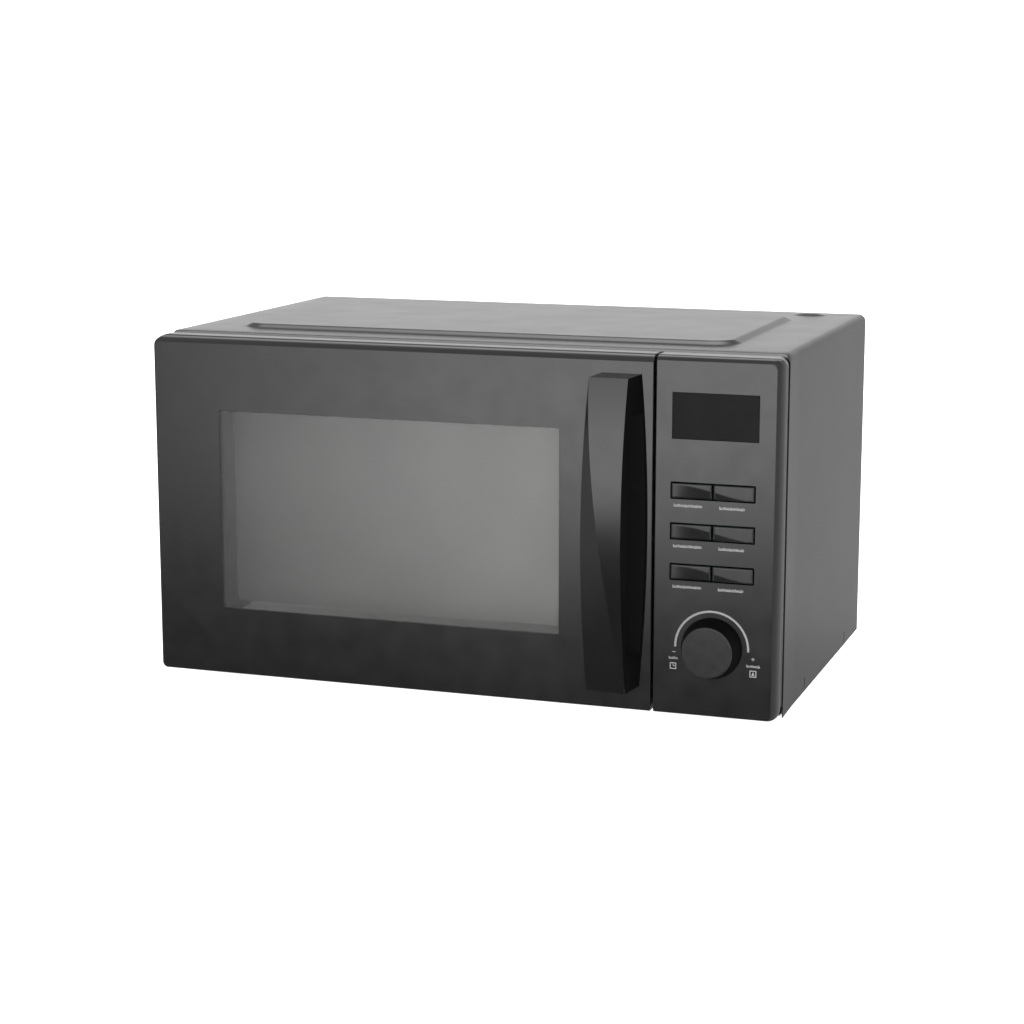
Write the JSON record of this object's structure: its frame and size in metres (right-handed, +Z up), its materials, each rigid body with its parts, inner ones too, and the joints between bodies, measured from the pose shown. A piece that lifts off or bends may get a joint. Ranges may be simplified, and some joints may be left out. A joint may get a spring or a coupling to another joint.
{
  "type": "microwave oven",
  "caption": "Countertop microwave oven with a side-hinged windowed door, bar handle, key and dial control panel, sheet case on rubber feet and a glass turntable.",
  "frame": {"origin": "centre of the bounding box in plan, on the plane the rubber feet stand on", "axes": "+X to the right when facing the door, -Y out of the door, +Z up"},
  "size_m": [0.4518, 0.322, 0.2562],
  "materials": {
    "gloss_black": "satin-gloss moulded black plastic",
    "case_paint": "satin dark grey powder coat on sheet steel",
    "smoked_window": "clear smoked window",
    "display_black": "glossy dark lens",
    "mesh_paint": "light grey painted perforated steel",
    "galvanised": "galvanised sheet",
    "cavity_enamel": "light grey cavity paint",
    "dark_plastic": "matt black plastic",
    "white_plastic": "natural white plastic",
    "rubber": "matt black rubber",
    "screw_steel": "plated steel",
    "circuit_board": "green laminate",
    "mica": "pale mica sheet",
    "glass": "clear tempered glass",
    "iron_core": "varnished laminations",
    "copper": "enamelled copper wire",
    "aluminium": "bright aluminium"
  },
  "bodies": {
    "oven_body": {"outer_case": "case_paint", "base_plate": "galvanised", "rear_panel": "galvanised", "front_frame": "cavity_enamel", "cavity_box": "cavity_enamel", "waveguide": "galvanised", "waveguide_cover": "mica", "foot_1": "rubber", "foot_2": "rubber", "foot_3": "rubber", "foot_4": "rubber", "cord_gland": "dark_plastic", "case_screw_1": "screw_steel", "case_screw_2": "screw_steel", "case_screw_3": "screw_steel", "case_screw_4": "screw_steel", "hinge_bracket_top": "galvanised", "hinge_bracket_bottom": "galvanised", "control_fascia": "gloss_black", "display_lens": "display_black", "display_module": "white_plastic", "encoder": "galvanised", "control_board": "circuit_board", "latch_board": "white_plastic", "microswitch_1": "dark_plastic", "microswitch_2": "dark_plastic", "magnetron": "aluminium", "transformer_core": "iron_core", "primary_winding": "copper", "secondary_winding": "copper", "capacitor": "aluminium", "fan_shroud": "white_plastic", "fan_motor": "iron_core", "oven_lamp": "glass", "noise_filter": "circuit_board", "turntable_motor": "galvanised"},
    "door": {"door_frame": "gloss_black", "door_window": "smoked_window", "door_mesh_panel": "mesh_paint", "door_inner_cover": "dark_plastic", "door_handle": "gloss_black", "handle_screw_1": "screw_steel", "handle_screw_2": "screw_steel", "latch_spring": "screw_steel"},
    "latch": {"latch_claw": "white_plastic"},
    "time_knob": {"knob": "gloss_black", "encoder_shaft": "aluminium"},
    "cooling_fan": {"fan_blade": "dark_plastic"},
    "turntable": {"turntable_coupler": "white_plastic", "turntable_plate": "glass"},
    "ring": {"roller_ring": "white_plastic"},
    "key_1": {"button_1": "gloss_black"},
    "key_2": {"button_2": "gloss_black"},
    "key_3": {"button_3": "gloss_black"},
    "key_4": {"button_4": "gloss_black"},
    "key_5": {"button_5": "gloss_black"},
    "key_6": {"button_6": "gloss_black"},
    "wheel_1": {"roller_1": "white_plastic"},
    "wheel_2": {"roller_2": "white_plastic"},
    "wheel_3": {"roller_3": "white_plastic"}
  },
  "joints": [
    {"name": "door_hinge", "type": "hinge", "parent": "oven_body", "child": "door", "pos_m": [-0.2202, -0.1183, 0.132], "axis": [0, 0, -1], "range_deg": [0, 95]},
    {"name": "latch_lift", "type": "slide", "parent": "door", "child": "latch", "axis": [0, 0, 1], "range_m": [0, 0.003], "stiffness_N_per_m": 250, "springref_m": -0.005, "deforming": ["latch_spring"]},
    {"name": "knob_turn", "type": "hinge", "parent": "oven_body", "child": "time_knob", "pos_m": [0.1793, -0.138, 0.059], "axis": [0, 1, 0], "continuous": true},
    {"name": "fan_spin", "type": "hinge", "parent": "oven_body", "child": "cooling_fan", "pos_m": [0.166, 0.141, 0.18], "axis": [0, 1, 0], "continuous": true},
    {"name": "turntable_spin", "type": "hinge", "parent": "oven_body", "child": "turntable", "pos_m": [-0.051, 0.021, 0.04], "axis": [0, 0, 1], "continuous": true},
    {"name": "ring_spin", "type": "hinge", "parent": "oven_body", "child": "ring", "pos_m": [-0.051, 0.021, 0.0368], "axis": [0, 0, 1], "continuous": true},
    {"name": "key_1_press", "type": "slide", "parent": "oven_body", "child": "key_1", "axis": [0, 1, 0], "range_m": [0, 0.001], "stiffness_N_per_m": 1000, "springref_m": -0.0005},
    {"name": "key_2_press", "type": "slide", "parent": "oven_body", "child": "key_2", "axis": [0, 1, 0], "range_m": [0, 0.001], "stiffness_N_per_m": 1000, "springref_m": -0.0005},
    {"name": "key_3_press", "type": "slide", "parent": "oven_body", "child": "key_3", "axis": [0, 1, 0], "range_m": [0, 0.001], "stiffness_N_per_m": 1000, "springref_m": -0.0005},
    {"name": "key_4_press", "type": "slide", "parent": "oven_body", "child": "key_4", "axis": [0, 1, 0], "range_m": [0, 0.001], "stiffness_N_per_m": 1000, "springref_m": -0.0005},
    {"name": "key_5_press", "type": "slide", "parent": "oven_body", "child": "key_5", "axis": [0, 1, 0], "range_m": [0, 0.001], "stiffness_N_per_m": 1000, "springref_m": -0.0005},
    {"name": "key_6_press", "type": "slide", "parent": "oven_body", "child": "key_6", "axis": [0, 1, 0], "range_m": [0, 0.001], "stiffness_N_per_m": 1000, "springref_m": -0.0005},
    {"name": "wheel_1_roll", "type": "hinge", "parent": "ring", "child": "wheel_1", "pos_m": [0.045, 0.021, 0.0368], "axis": [1, 0, 0], "continuous": true},
    {"name": "wheel_2_roll", "type": "hinge", "parent": "ring", "child": "wheel_2", "pos_m": [-0.099, 0.10414, 0.0368], "axis": [-0.5, 0.866, 0], "continuous": true},
    {"name": "wheel_3_roll", "type": "hinge", "parent": "ring", "child": "wheel_3", "pos_m": [-0.099, -0.06214, 0.0368], "axis": [-0.5, -0.866, 0], "continuous": true}
  ],
  "couplings": [
    {"joint": "ring_spin", "follows": "turntable_spin", "ratio": 0.5},
    {"joint": "wheel_1_roll", "follows": "turntable_spin", "ratio": -7.3846},
    {"joint": "wheel_2_roll", "follows": "turntable_spin", "ratio": -7.3846},
    {"joint": "wheel_3_roll", "follows": "turntable_spin", "ratio": -7.3846}
  ]
}
